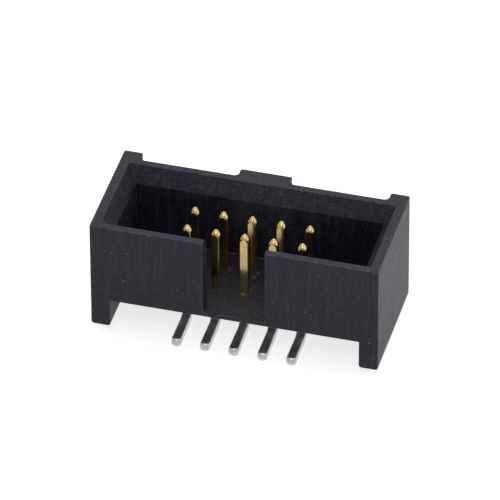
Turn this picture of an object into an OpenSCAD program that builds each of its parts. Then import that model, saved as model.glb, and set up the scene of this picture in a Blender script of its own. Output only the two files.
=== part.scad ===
// Two-row shrouded box header for surface mounting.
// The frame: Z = 0 is the board, X runs along the contact rows, Y across them, and the mating
// plug comes down along -Z. The polarising notch faces -Y. The origin is the middle of the
// contact grid on the board. Lengths are in millimetres.

/* [Contact grid] */
// Contact columns along the connector, two contacts in each
columns = 5; // [2:1:20]
// Distance between neighbouring contacts, along and across the rows
pitch = 1.27; // [1.1:0.01:2.54]

/* [Contact wire] */
// Side of the square contact wire
wire = 0.40; // [0.30:0.01:0.50]
// Flat along each long edge of the wire
wire_edge = 0.04; // [0.01:0.01:0.08]
// Height of the contact tips above the cavity floor
pin_rise = 3.08; // [2.4:0.02:3.6]
// Length of the coined nose on the mating end
tip_length = 0.42; // [0.25:0.01:0.60]
// Radius of the small flat at the end of that nose
tip_flat = 0.06; // [0.03:0.01:0.12]
// Reach of the solder feet from the middle plane of the connector
foot_reach = 2.72; // [2.4:0.02:3.4]
// Length of the coined nose on the solder end
toe_length = 0.26; // [0.15:0.01:0.40]
// Radius of the small flat at the end of the solder nose
toe_flat = 0.08; // [0.03:0.01:0.12]
// Inner radius of the bend between shank and foot
bend_radius = 0.32; // [0.15:0.01:0.38]

/* [Shroud walls] */
// Room between the middle of the last contact and the end wall
end_room = 2.95; // [1.8:0.05:5]
// Room between the middle of a contact and the long wall
side_room = 1.135; // [0.9:0.005:2]
// Thickness of the end walls below their lead-in
end_wall = 0.84; // [0.6:0.01:1.4]
// Thickness of the long walls below their lead-in
side_wall = 0.71; // [0.55:0.01:1.2]
// Height of the lead-in slope below the rim
lead_in_height = 0.75; // [0.3:0.01:1.4]
// How far the lead-in cuts back the end walls at the rim
lead_in_end = 0.44; // [0.1:0.01:0.5]
// How far the lead-in cuts back the long walls at the rim
lead_in_side = 0.40; // [0.1:0.01:0.45]
// Depth of the cavity from rim to floor
cavity_depth = 3.70; // [3.65:0.05:5]
// Width of the polarising notch in the front wall
notch_width = 2.74; // [1.5:0.02:4]

/* [Floor and legs] */
// Clearance of the legs above the board, which the solder feet take up
leg_clearance = 0.40; // [0.30:0.01:0.60]
// Length of the legs below the underside of the long walls
leg_length = 1.37; // [1.1:0.01:2]
// Height of the step from the underside of the long walls to the cavity floor
floor_step = 0.20; // [0.1:0.01:0.6]
// How far the contact block hangs below the underside of the long walls
block_drop = 0.62; // [0.3:0.01:0.7]
// Width of the contact block beyond the contact axes, along both directions
block_margin = 0.60; // [0.4:0.01:0.7]
// Rounding of the lower edges of the legs
leg_round = 0.13; // [0.05:0.01:0.25]

/* [Rear pads] */
// How far the pads stand out from the rear wall
pad_height = 0.49; // [0.2:0.01:1]
// Width of the middle pad
pad_width = 2.28; // [1.2:0.02:4]
// Rounding of the outer corners of the pads
pad_round = 0.10; // [0.05:0.01:0.15]
// Fillet where a pad meets the rear wall
pad_fillet = 0.22; // [0.05:0.01:0.4]

/* [Hidden] */
$fn = 64;
// Overshoot of cutting solids, so that no skin is left
cut = 1;

// Contact grid
row_y = pitch / 2;
grid_half = (columns - 1) * pitch / 2;
function column_x(i) = (i - 1) * pitch - grid_half;

// Heights above the board
underside_z = leg_clearance + leg_length;
block_z = underside_z - block_drop;
floor_z = underside_z + floor_step;
rim_z = floor_z + cavity_depth;
tip_z = floor_z + pin_rise;

// Plan of the shroud
cavity_x = grid_half + end_room;
cavity_y = row_y + side_room;
body_x = cavity_x + end_wall;
body_y = cavity_y + side_wall;

// The coined noses start just outside the corners of the wire
nose_r = norm([wire / 2, wire / 2 - wire_edge]) + 0.01;

// ---- Contacts ----

// Section of the wire: a square with its long edges flattened
module wire_section() {
    a = wire / 2;
    b = a - wire_edge;
    polygon([[a, -b], [a, b], [b, a], [-b, a], [-a, b], [-a, -b], [-b, -a], [b, -a]]);
}

// Ogive that a coined wire end is cut to: from z = 0 up to z = length, ending in a small flat
module nose(length, flat, shank) {
    drop = nose_r - flat;
    r = (length * length + drop * drop) / (2 * drop);
    translate([0, 0, -shank])
        cylinder(h = shank, r = nose_r);
    rotate_extrude()
        intersection() {
            translate([nose_r - r, 0])
                circle(r = r, $fn = 180);
            square([nose_r, length]);
        }
}

// Straight stretch of wire along +Z that ends in a coined nose
module nosed_wire(length, nose_length, nose_flat) {
    intersection() {
        linear_extrude(length)
            wire_section();
        translate([0, 0, length - nose_length])
            nose(nose_length, nose_flat, length);
    }
}

// One contact of the front row: mating blade, shank through the floor, bend and solder foot
module contact() {
    turn_r = bend_radius + wire / 2;
    turn_z = wire / 2 + turn_r;
    foot_y = row_y + turn_r;
    translate([0, -row_y, turn_z])
        nosed_wire(tip_z - turn_z, tip_length, tip_flat);
    translate([0, -foot_y, turn_z])
        rotate([-90, 0, 90])
            rotate_extrude(angle = 90)
                translate([turn_r, 0])
                    wire_section();
    translate([0, -foot_y, wire / 2])
        rotate([90, 0, 0])
            nosed_wire(foot_reach - foot_y, toe_length, toe_flat);
}

module pin_front(i) {
    color("goldenrod")
        translate([column_x(i), 0, 0])
            contact();
}

// The rear row is the front row turned half a turn about the connector's middle
module pin_rear(i) {
    color("goldenrod")
        translate([column_x(i), 0, 0])
            rotate([0, 0, 180])
                contact();
}

// ---- Housing ----

// Pad on the rear wall in plan, between x0 and x1: rounded outside, filleted at its root
module pad_plan(x0, x1) {
    top = body_y + pad_height;
    translate([x0, 0])
        square([x1 - x0, top - pad_round]);
    translate([x0 + pad_round, 0])
        square([x1 - x0 - 2 * pad_round, top]);
    for (x = [x0 + pad_round, x1 - pad_round])
        translate([x, top - pad_round])
            circle(pad_round);
    for (side = [-1, 1])
        translate([side < 0 ? x0 : x1, body_y])
            difference() {
                translate([side < 0 ? -pad_fillet : 0, 0])
                    square(pad_fillet);
                translate([side * pad_fillet, pad_fillet])
                    circle(pad_fillet);
            }
}

// Outline of the shroud seen from above, with its three rear pads
module plan() {
    square([2 * body_x, 2 * body_y], center = true);
    intersection() {
        union() {
            pad_plan(-body_x, -cavity_x);
            pad_plan(-pad_width / 2, pad_width / 2);
            pad_plan(cavity_x, body_x);
        }
        translate([-body_x, 0])
            square([2 * body_x, body_y + pad_height]);
    }
}

// One leg seen from the front, with its lower edges rounded
module leg_profile() {
    translate([0, leg_round])
        square([end_wall, leg_length]);
    translate([leg_round, 0])
        square([end_wall - 2 * leg_round, leg_length]);
    for (x = [leg_round, end_wall - leg_round])
        translate([x, leg_round])
            circle(leg_round);
}

// Outline of the shroud seen from the front: the body on its two legs
module front_profile() {
    translate([-body_x, underside_z])
        square([2 * body_x, rim_z - underside_z]);
    for (x = [-body_x, cavity_x])
        translate([x, leg_clearance])
            leg_profile();
}

// Section of the cavity: straight below, opening out over the lead-in at the rim
module cavity_profile(half, lead) {
    slope = lead / lead_in_height;
    polygon([
        [-half, floor_z], [half, floor_z],
        [half, rim_z - lead_in_height],
        [half + lead + slope * cut, rim_z + cut],
        [-half - lead - slope * cut, rim_z + cut],
        [-half, rim_z - lead_in_height]
    ]);
}

// Extrudes a profile drawn in X and Z along Y
module along_y(y0, y1) {
    translate([0, y1, 0])
        rotate([90, 0, 0])
            linear_extrude(y1 - y0)
                children();
}

// Extrudes a profile drawn in Y and Z along X
module along_x(x0, x1) {
    translate([x0, 0, 0])
        rotate([90, 0, 90])
            linear_extrude(x1 - x0)
                children();
}

module cavity() {
    intersection() {
        along_y(-body_y - cut, body_y + cut)
            cavity_profile(cavity_x, lead_in_end);
        along_x(-body_x - cut, body_x + cut)
            cavity_profile(cavity_y, lead_in_side);
    }
}

// Polarising notch: open from the rim down to the cavity floor
module notch() {
    translate([-notch_width / 2, -body_y - cut, floor_z])
        cube([notch_width, side_wall + 2 * cut, rim_z]);
}

// Block under the floor that grips the contacts
module contact_block() {
    x = grid_half + block_margin;
    y = row_y + block_margin;
    translate([-x, -y, block_z])
        cube([2 * x, 2 * y, floor_z - block_z]);
}

// Holes that the contacts pass through, with the section of the wire
module contact_holes() {
    for (i = [1 : columns], side = [-1, 1])
        translate([column_x(i), side * row_y, block_z - cut])
            linear_extrude(floor_z - block_z + 2 * cut)
                wire_section();
}

module housing() {
    color([0.13, 0.13, 0.15])
        difference() {
            union() {
                intersection() {
                    translate([0, 0, leg_clearance])
                        linear_extrude(rim_z - leg_clearance)
                            plan();
                    along_y(-body_y, body_y + pad_height)
                        front_profile();
                }
                contact_block();
            }
            cavity();
            notch();
            contact_holes();
        }
}

housing();
for (i = [1 : columns]) {
    pin_front(i);
    pin_rear(i);
}
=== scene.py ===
"""Looks of the shrouded box header: finishes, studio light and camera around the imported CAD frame.

The frame has Z = 0 on the board, X along the contact rows and the notched wall towards -Y.
Lengths are in metres and colours in linear light.
"""

import math

import bpy
from mathutils import Matrix, Vector


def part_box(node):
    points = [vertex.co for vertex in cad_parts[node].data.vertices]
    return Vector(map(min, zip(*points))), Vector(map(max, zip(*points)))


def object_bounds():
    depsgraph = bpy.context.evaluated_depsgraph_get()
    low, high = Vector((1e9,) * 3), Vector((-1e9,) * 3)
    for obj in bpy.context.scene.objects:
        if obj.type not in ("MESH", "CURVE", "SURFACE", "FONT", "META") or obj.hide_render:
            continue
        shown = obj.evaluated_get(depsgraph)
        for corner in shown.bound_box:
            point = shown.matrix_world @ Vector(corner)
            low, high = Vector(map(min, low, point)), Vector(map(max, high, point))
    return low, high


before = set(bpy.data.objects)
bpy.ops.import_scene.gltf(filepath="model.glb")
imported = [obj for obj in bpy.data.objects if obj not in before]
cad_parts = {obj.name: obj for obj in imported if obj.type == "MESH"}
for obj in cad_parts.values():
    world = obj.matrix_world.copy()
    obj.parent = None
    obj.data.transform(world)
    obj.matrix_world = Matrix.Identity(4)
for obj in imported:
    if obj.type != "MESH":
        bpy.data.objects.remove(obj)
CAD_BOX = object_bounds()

MM = 0.001
HOUSING = "housing"
CONTACTS = [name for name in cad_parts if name.startswith("pin_")]

# Rounded edges
MOULD_RADIUS = 0.045 * MM           # rounding that the mould leaves on every edge of the housing
MOULD_SEGMENTS = 3
WIRE_RADIUS = 0.012 * MM            # softening of the edges of the contact wire
WIRE_SEGMENTS = 1
WELD_GAP = 0.0005 * MM              # corners of neighbouring facets closer than this are joined
FLAT_ANGLE = math.radians(0.5)      # facets that turn less than this are merged
SHARP_ANGLE = math.radians(28)      # edges that turn more than this are rounded
SMOOTH_ANGLE = math.radians(50)     # rounded edges are shaded smooth where they turn less than this
FACE_WEIGHT = 80                    # how far the large faces decide the shading, up to 100

# Places on the frame that the finish follows
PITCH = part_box("pin_front_2")[0].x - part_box("pin_front_1")[0].x
GRID_HALF = -sum(corner.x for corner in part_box("pin_front_1")) / 2
CAVITY_DEPTH = 3.70 * MM
SIDE_WALL = 0.71 * MM
FLOOR_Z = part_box(HOUSING)[1].z - CAVITY_DEPTH
CAVITY_Y = -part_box(HOUSING)[0].y - SIDE_WALL

# Where the gold of the mating blades gives way to the tin of the solder tails, inside the contact block
PLATING_Z = 1.6 * MM
PLATING_BLEND = 0.02 * MM

# Floor: its own shade, and the glow that it adds towards the camera and in reflections
FLOOR_SPAN = 40                     # side of the floor, in lengths of the part
FLOOR_SHADE = 0.66
FLOOR_GLOW = 0.72                   # as the camera sees it
SHEEN_FRONT = 0.16                  # as reflections see it, in front of the solder feet
SHEEN_BACK = 0.56                   # and from there on back
SHEEN_BLEND = 1 * MM

# World: its brightness in front of the part and behind it, and as the camera sees it
SKY_FRONT = 0.40
SKY_BACK = 0.80
SKY_BLEND = 0.7                     # Y of the direction at which each of the two is reached
SKY_SEEN = 1.0

# Softboxes: name, direction from the part, side, and power in watts
LAMP_DISTANCE = 0.20
SOFTBOXES = (
    ("softbox_top", (0.10, 0.35, 1.00), 0.16, 0.050),
    ("softbox_right", (1.00, -0.15, 0.45), 0.12, 0.020),
    ("softbox_front", (0.10, -0.60, 0.80), 0.08, 0.050),
    ("softbox_back", (0.55, 0.85, 0.12), 0.12, 0.020),
)

# Camera: the viewing angle, and the point it looks at as an offset from the middle of the housing
VIEW_AZIMUTH = math.radians(15.34)
VIEW_ELEVATION = math.radians(38.22)
VIEW_ROLL = math.radians(-0.30)
VIEW_DISTANCE = 303.955 * MM
SENSOR_WIDTH = 36.0                 # millimetres
VIEW_LENS = 512.1                   # millimetres
CLIP_NEAR = 0.01
CLIP_FAR = 10.0
AIM_RIGHT = -0.0205 * MM
AIM_UP = 0.411 * MM


# ---- Small helpers for node trees ----

def rgb(r, g, b):
    """Colour with the alpha that colour sockets take."""
    return (r, g, b, 1.0)


WHITE = rgb(1, 1, 1)


class Nodes:
    """Adds nodes to an emptied tree and links them in one call each."""

    def __init__(self, tree):
        self.tree = tree
        tree.nodes.clear()

    def add(self, kind, values=None, **settings):
        """A node, with its settings, and with values or links for its sockets."""
        node = self.tree.nodes.new(kind)
        for key, value in settings.items():
            setattr(node, key, value)
        for key, value in (values or {}).items():
            if isinstance(value, bpy.types.NodeSocket):
                self.tree.links.new(value, node.inputs[key])
            else:
                node.inputs[key].default_value = value
        return node

    def math(self, operation, a, b=None):
        """Result of a math node on one or two numbers."""
        values = {0: a} if b is None else {0: a, 1: b}
        return self.add("ShaderNodeMath", values, operation=operation).outputs[0]

    def ramp(self, value, low, high, out_low=0.0, out_high=1.0):
        """value mapped smoothly from low..high to out_low..out_high, and held at the ends."""
        node = self.add(
            "ShaderNodeMapRange",
            {"Value": value, "From Min": low, "From Max": high, "To Min": out_low, "To Max": out_high},
            interpolation_type="SMOOTHSTEP",
        )
        return node.outputs["Result"]

    def mix(self, factor, a, b):
        """Colour a where factor is 0, b where it is 1."""
        return self.add("ShaderNodeMix", {0: factor, 6: a, 7: b}, data_type="RGBA").outputs[2]

    def blend(self, factor, a, b):
        """Number a where factor is 0, b where it is 1."""
        return self.add("ShaderNodeMix", {0: factor, 2: a, 3: b}, data_type="FLOAT").outputs[0]

    def noise(self, place, size, stretch=(1, 1, 1), detail=2.0, roughness=0.5):
        """Noise whose blobs are about size metres across, drawn out along an axis by stretch."""
        scaled = self.add(
            "ShaderNodeVectorMath",
            {0: place, 1: tuple(1 / (size * s) for s in stretch)},
            operation="MULTIPLY",
        )
        node = self.add(
            "ShaderNodeTexNoise",
            {"Vector": scaled.outputs[0], "Scale": 1.0, "Detail": detail, "Roughness": roughness},
        )
        return node.outputs["Fac"]

    def bump(self, height, strength, distance, under=None):
        """Normal of a relief, laid on top of the relief whose normal is under."""
        values = {"Strength": strength, "Distance": distance, "Height": height}
        if under is not None:
            values["Normal"] = under
        return self.add("ShaderNodeBump", values).outputs[0]

    def place(self):
        """Position in the part's frame: every piece's object sits at the origin."""
        return self.add("ShaderNodeTexCoord").outputs["Object"]

    def split(self, vector):
        """The X, Y and Z of a vector."""
        return self.add("ShaderNodeSeparateXYZ", {0: vector}).outputs


def new_material(name):
    """An empty material and its nodes."""
    material = bpy.data.materials.new(name)
    material.use_nodes = True
    return material, Nodes(material.node_tree)


# ---- Black moulding ----

SKIN_DARK = rgb(0.0020, 0.0028, 0.0110)
SKIN_LIGHT = rgb(0.0130, 0.0145, 0.0320)
FLOW_MARK = rgb(0.044, 0.047, 0.064)
GRAIN_PIT = rgb(0.002, 0.002, 0.005)
GRAIN_TOP = rgb(0.054, 0.057, 0.080)
# Paler edges: partly wear, partly a painted highlight along every edge
EDGE_WEAR_AND_HIGHLIGHT = rgb(0.130, 0.134, 0.155)
# Painted highlight: glints on the cavity floor along its rear corner and round each contact
FLOOR_GLINT = rgb(0.20, 0.20, 0.20)
SPECK = rgb(0.30, 0.30, 0.31)

MOTTLE_SIZE = 0.32 * MM
MOTTLE_RELIEF = 0.014 * MM
FLOW_SIZE = 0.30 * MM
FLOW_STRETCH = (0.6, 0.6, 7.0)      # the flow marks run up the walls
GRAIN_SIZE = 0.085 * MM
GRAIN_RELIEF = 0.006 * MM
EDGE_REACH = 0.085 * MM             # how far the wear and the painted edge highlight reach in from an edge
# patches in which the edge wear and painted edge highlight show
WEAR_AND_HIGHLIGHT_PATCH = 0.35 * MM
SPECK_SPACING = 0.45 * MM
SPECK_PATCH = 0.9 * MM
# patches in which the painted floor glints show
GLINT_PATCH = 0.25 * MM


def edge_mask(n, radius, low, high):
    """1 within about radius of an edge, 0 on flats: near an edge the bevelled normal turns away."""
    bevel = n.add("ShaderNodeBevel", {"Radius": radius}, samples=6)
    flat = n.add("ShaderNodeNewGeometry")
    normals = {0: bevel.outputs[0], 1: flat.outputs["Normal"]}
    dot = n.add("ShaderNodeVectorMath", normals, operation="DOT_PRODUCT")
    return n.ramp(dot.outputs["Value"], high, low)


def painted_floor_glints(n, place):
    """Painted highlight on the cavity floor: glints along its rear corner and where each contact leaves it.
    """
    x, y, z = n.split(place)
    on_floor = n.ramp(n.math("ABSOLUTE", n.math("SUBTRACT", z, FLOOR_Z)), 0.05 * MM, 0.02 * MM)
    from_wall = n.math("ABSOLUTE", n.math("SUBTRACT", y, CAVITY_Y))
    corner = n.math("MULTIPLY", n.ramp(from_wall, 0.07 * MM, 0.03 * MM), 0.8)

    along = n.math("PINGPONG", n.math("ADD", x, GRID_HALF), PITCH / 2)
    across = n.math("SUBTRACT", n.math("ABSOLUTE", y), PITCH / 2)
    away = n.add("ShaderNodeCombineXYZ", {0: along, 1: across})
    from_contact = n.add("ShaderNodeVectorMath", {0: away.outputs[0]}, operation="LENGTH").outputs["Value"]
    in_grid = n.ramp(n.math("ABSOLUTE", x), GRID_HALF + 0.5 * PITCH, GRID_HALF + 0.4 * PITCH)
    collar = n.math("MULTIPLY", n.ramp(from_contact, 0.34 * MM, 0.24 * MM), n.math("MULTIPLY", in_grid, 0.7))

    patchy = n.ramp(n.noise(place, GLINT_PATCH), 0.45, 0.62)
    return n.math("MULTIPLY", n.math("MULTIPLY", on_floor, patchy), n.math("MAXIMUM", corner, collar))


def specks(n, place):
    """Pale dots, one in each of the cells that lie inside scattered patches."""
    cells = n.add("ShaderNodeTexVoronoi", {"Vector": place, "Scale": 1 / SPECK_SPACING}, feature="F1")
    dots = n.ramp(cells.outputs["Distance"], 0.090, 0.040)
    patches = n.ramp(n.noise(place, SPECK_PATCH), 0.50, 0.56)
    return n.math("MULTIPLY", dots, patches)


def plastic_material():
    """Black glass-filled moulding: matt skin with fine grain, faint flow marks, edges paler from wear and
    from a painted highlight, painted glints on the cavity floor, specks.
    """
    material, n = new_material("moulded_black")
    place = n.place()
    mottle = n.noise(place, MOTTLE_SIZE, detail=4.0, roughness=0.65)
    flow = n.noise(place, FLOW_SIZE, stretch=FLOW_STRETCH, detail=3.0)
    grain = n.noise(place, GRAIN_SIZE, detail=3.0, roughness=0.6)

    colour = n.mix(n.ramp(mottle, 0.34, 0.66), SKIN_DARK, SKIN_LIGHT)
    colour = n.mix(n.ramp(flow, 0.48, 0.74, out_high=0.55), colour, FLOW_MARK)
    colour = n.mix(n.ramp(grain, 0.30, 0.52, out_low=0.90, out_high=0.0), colour, GRAIN_PIT)
    colour = n.mix(n.ramp(grain, 0.50, 0.72, out_high=0.85), colour, GRAIN_TOP)

    # Edges paler from wear and from a painted highlight, in patches
    edge_patches = n.ramp(n.noise(place, WEAR_AND_HIGHLIGHT_PATCH, detail=3.0), 0.44, 0.60, out_low=0.20)
    wear_and_highlight = n.math("MULTIPLY", edge_mask(n, EDGE_REACH, 0.84, 0.98), edge_patches)
    colour = n.mix(n.math("MULTIPLY", wear_and_highlight, 0.75), colour, EDGE_WEAR_AND_HIGHLIGHT)
    # painted highlight: glints on the cavity floor
    colour = n.mix(painted_floor_glints(n, place), colour, FLOOR_GLINT)
    colour = n.mix(n.math("MULTIPLY", specks(n, place), 0.75), colour, SPECK)

    mottle_rough = n.ramp(mottle, 0.3, 0.7, out_low=0.48, out_high=0.58)
    grain_rough = n.ramp(grain, 0.3, 0.7, out_low=-0.05, out_high=0.05)
    fine = n.bump(grain, 0.55, GRAIN_RELIEF)
    shader = n.add("ShaderNodeBsdfPrincipled", {
        "Base Color": colour,
        "Roughness": n.math("ADD", mottle_rough, grain_rough),
        "IOR": 1.5,
        "Normal": n.bump(mottle, 0.35, MOTTLE_RELIEF, under=fine),
    })
    n.add("ShaderNodeOutputMaterial", {"Surface": shader.outputs[0]})
    return material


# ---- Plated contact wire ----

GOLD = rgb(0.80, 0.59, 0.25)
GOLD_PALE = rgb(0.88, 0.69, 0.32)
GOLD_LINE = rgb(0.58, 0.41, 0.15)
TIN = rgb(0.76, 0.78, 0.78)
TIN_PALE = rgb(0.90, 0.92, 0.92)

LINE_SIZE = 0.06 * MM
LINE_STRETCH = (1, 1, 14)           # the lines of the drawn wire run up the blades
LINE_RELIEF = 0.002 * MM
CLOUD_SIZE = 0.30 * MM
CLOUD_RELIEF = 0.004 * MM
RELIEF_STRENGTH = 0.04


def contact_material():
    """Square wire: gold above PLATING_Z, matt tin below, both with the fine lines of drawn wire."""
    material, n = new_material("plated_wire")
    place = n.place()
    height = n.split(place)["Z"]
    is_gold = n.ramp(height, PLATING_Z - PLATING_BLEND, PLATING_Z + PLATING_BLEND)

    lines = n.noise(place, LINE_SIZE, stretch=LINE_STRETCH)
    cloud = n.noise(place, CLOUD_SIZE, detail=3.0)
    cloudy = n.ramp(cloud, 0.35, 0.7)
    gold = n.mix(cloudy, GOLD, GOLD_PALE)
    gold = n.mix(n.ramp(lines, 0.55, 0.8, out_high=0.25), gold, GOLD_LINE)
    tin = n.mix(cloudy, TIN, TIN_PALE)

    tin_rough = n.ramp(cloud, 0.3, 0.7, out_low=0.32, out_high=0.42)
    gold_rough = n.ramp(lines, 0.3, 0.7, out_low=0.13, out_high=0.20)
    drawn = n.bump(lines, RELIEF_STRENGTH, LINE_RELIEF)
    shader = n.add("ShaderNodeBsdfPrincipled", {
        "Base Color": n.mix(is_gold, tin, gold),
        "Metallic": 1.0,
        "Roughness": n.blend(is_gold, tin_rough, gold_rough),
        "Normal": n.bump(cloud, RELIEF_STRENGTH, CLOUD_RELIEF, under=drawn),
    })
    n.add("ShaderNodeOutputMaterial", {"Surface": shader.outputs[0]})
    return material


# ---- Rounded edges on the CAD pieces ----

def smooth_group(name, angle, drop_normals):
    """Geometry nodes that smooth the shading except across edges sharper than angle.

    With drop_normals they first remove the normals that came with the mesh.
    """
    group = bpy.data.node_groups.new(name, "GeometryNodeTree")
    group.interface.new_socket("Geometry", in_out="INPUT", socket_type="NodeSocketGeometry")
    group.interface.new_socket("Geometry", in_out="OUTPUT", socket_type="NodeSocketGeometry")
    n = Nodes(group)
    shape = n.add("NodeGroupInput").outputs[0]
    if drop_normals:
        bare = n.add("GeometryNodeRemoveAttribute", {"Geometry": shape, "Name": "custom_normal"})
        shape = bare.outputs[0]
    faces = n.add("GeometryNodeSetShadeSmooth", {0: shape, "Shade Smooth": True}, domain="FACE")
    turn = n.add("GeometryNodeInputMeshEdgeAngle").outputs["Unsigned Angle"]
    gentle = n.add("FunctionNodeCompare", {0: turn, 1: angle}, data_type="FLOAT", operation="LESS_THAN")
    edges = n.add(
        "GeometryNodeSetShadeSmooth",
        {0: faces.outputs[0], "Shade Smooth": gentle.outputs[0]},
        domain="EDGE",
    )
    n.add("NodeGroupOutput", {0: edges.outputs[0]})
    return group


def add_modifier(piece, kind, name, **settings):
    """Adds a modifier with its settings to the end of the piece's stack."""
    modifier = piece.modifiers.new(name, kind)
    for key, value in settings.items():
        setattr(modifier, key, value)


def round_edges(piece, radius, segments, reset, resmooth):
    """Joins the facets of a CAD piece, rounds its sharp edges and smooths its shading."""
    add_modifier(piece, "NODES", "reset_shading", node_group=reset)
    add_modifier(piece, "WELD", "joined_faces", merge_threshold=WELD_GAP)
    add_modifier(piece, "DECIMATE", "merge_flats", decimate_type="DISSOLVE", angle_limit=FLAT_ANGLE)
    add_modifier(
        piece, "BEVEL", "rounded_edges",
        width=radius, segments=segments, limit_method="ANGLE", angle_limit=SHARP_ANGLE,
        miter_outer="MITER_ARC", use_clamp_overlap=True,
    )
    add_modifier(piece, "NODES", "smooth_shading", node_group=resmooth)
    add_modifier(piece, "WEIGHTED_NORMAL", "even_normals", weight=FACE_WEIGHT, keep_sharp=True)


def dress_pieces():
    """Gives every CAD piece its material and its rounded edges."""
    reset = smooth_group("reset_shading", SHARP_ANGLE, drop_normals=True)
    resmooth = smooth_group("smooth_shading", SMOOTH_ANGLE, drop_normals=False)
    plastic = plastic_material()
    wire = contact_material()
    for name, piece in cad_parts.items():
        if name in CONTACTS:
            piece.material_slots[0].material = wire
            round_edges(piece, WIRE_RADIUS, WIRE_SEGMENTS, reset, resmooth)
        else:
            piece.material_slots[0].material = plastic
            round_edges(piece, MOULD_RADIUS, MOULD_SEGMENTS, reset, resmooth)


# ---- Studio ----

def floor_material():
    """White lit board. Towards the camera and in reflections it adds a glow of its own, like a light
    table, so that it stays white while the object's soft shadow still shows."""
    material, n = new_material("white_floor")
    rays = n.add("ShaderNodeLightPath").outputs
    diffuse = n.add("ShaderNodeBsdfDiffuse", {"Color": rgb(FLOOR_SHADE, FLOOR_SHADE, FLOOR_SHADE)})
    seen = n.math("MULTIPLY", rays["Is Camera Ray"], FLOOR_GLOW)
    mirrored = n.math("MAXIMUM", rays["Is Glossy Ray"], rays["Is Transmission Ray"])
    across = n.split(n.place())["Y"]
    front = CAD_BOX[0].y
    sheen = n.ramp(across, front - SHEEN_BLEND, front + SHEEN_BLEND, SHEEN_FRONT, SHEEN_BACK)
    glow = n.math("ADD", seen, n.math("MULTIPLY", mirrored, sheen))
    emission = n.add("ShaderNodeEmission", {"Color": WHITE, "Strength": glow})
    both = n.add("ShaderNodeAddShader", {0: diffuse.outputs[0], 1: emission.outputs[0]})
    n.add("ShaderNodeOutputMaterial", {"Surface": both.outputs[0]})
    return material


def add_floor():
    """Square floor under the part, with its middle at the origin."""
    half = FLOOR_SPAN * (CAD_BOX[1] - CAD_BOX[0]).x / 2
    corners = [(-half, -half, 0), (half, -half, 0), (half, half, 0), (-half, half, 0)]
    mesh = bpy.data.meshes.new("floor")
    mesh.from_pydata(corners, [], [(0, 1, 2, 3)])
    mesh.materials.append(floor_material())
    floor = bpy.data.objects.new("floor", mesh)
    bpy.context.scene.collection.objects.link(floor)


def add_world():
    """Pale surroundings: white to the camera, and brighter behind the part than in front of it."""
    world = bpy.data.worlds.new("studio")
    bpy.context.scene.world = world
    world.use_nodes = True
    n = Nodes(world.node_tree)
    seen = n.add("ShaderNodeLightPath").outputs["Is Camera Ray"]
    way = n.split(n.add("ShaderNodeTexCoord").outputs["Generated"])
    around = n.ramp(way["Y"], -SKY_BLEND, SKY_BLEND, SKY_FRONT, SKY_BACK)
    strength = n.blend(seen, around, SKY_SEEN)
    background = n.add("ShaderNodeBackground", {"Color": WHITE, "Strength": strength})
    n.add("ShaderNodeOutputWorld", {"Surface": background.outputs[0]})


def add_softbox(name, direction, side, power, target):
    """Square area lamp that shines on target from the given direction."""
    lamp = bpy.data.lights.new(name, "AREA")
    lamp.shape = "SQUARE"
    lamp.size = side
    lamp.energy = power
    piece = bpy.data.objects.new(name, lamp)
    away = Vector(direction).normalized()
    piece.location = target + away * LAMP_DISTANCE
    piece.rotation_euler = away.to_track_quat("Z", "Y").to_euler()
    bpy.context.scene.collection.objects.link(piece)


def add_lights():
    """The softboxes, all aimed at the middle of the part."""
    middle = (CAD_BOX[0] + CAD_BOX[1]) / 2
    for name, direction, side, power in SOFTBOXES:
        add_softbox(name, direction, side, power, middle)


def add_camera():
    """Camera at the viewing angle, aimed near the middle of the housing."""
    camera = bpy.data.cameras.new("camera")
    camera.sensor_width = SENSOR_WIDTH
    camera.lens = VIEW_LENS
    camera.clip_start = CLIP_NEAR
    camera.clip_end = CLIP_FAR
    piece = bpy.data.objects.new("camera", camera)
    bpy.context.scene.collection.objects.link(piece)
    turn = (
        Matrix.Rotation(VIEW_AZIMUTH, 4, "Z")
        @ Matrix.Rotation(math.pi / 2 - VIEW_ELEVATION, 4, "X")
        @ Matrix.Rotation(VIEW_ROLL, 4, "Z")
    )
    right, up, back = (turn.col[i].to_3d() for i in range(3))
    low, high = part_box(HOUSING)
    aim = (low + high) / 2 + AIM_RIGHT * right + AIM_UP * up
    piece.matrix_world = Matrix.Translation(aim + VIEW_DISTANCE * back) @ turn
    bpy.context.scene.camera = piece


dress_pieces()
add_floor()
add_world()
add_lights()
add_camera()
bpy.context.scene.view_settings.view_transform = "Standard"
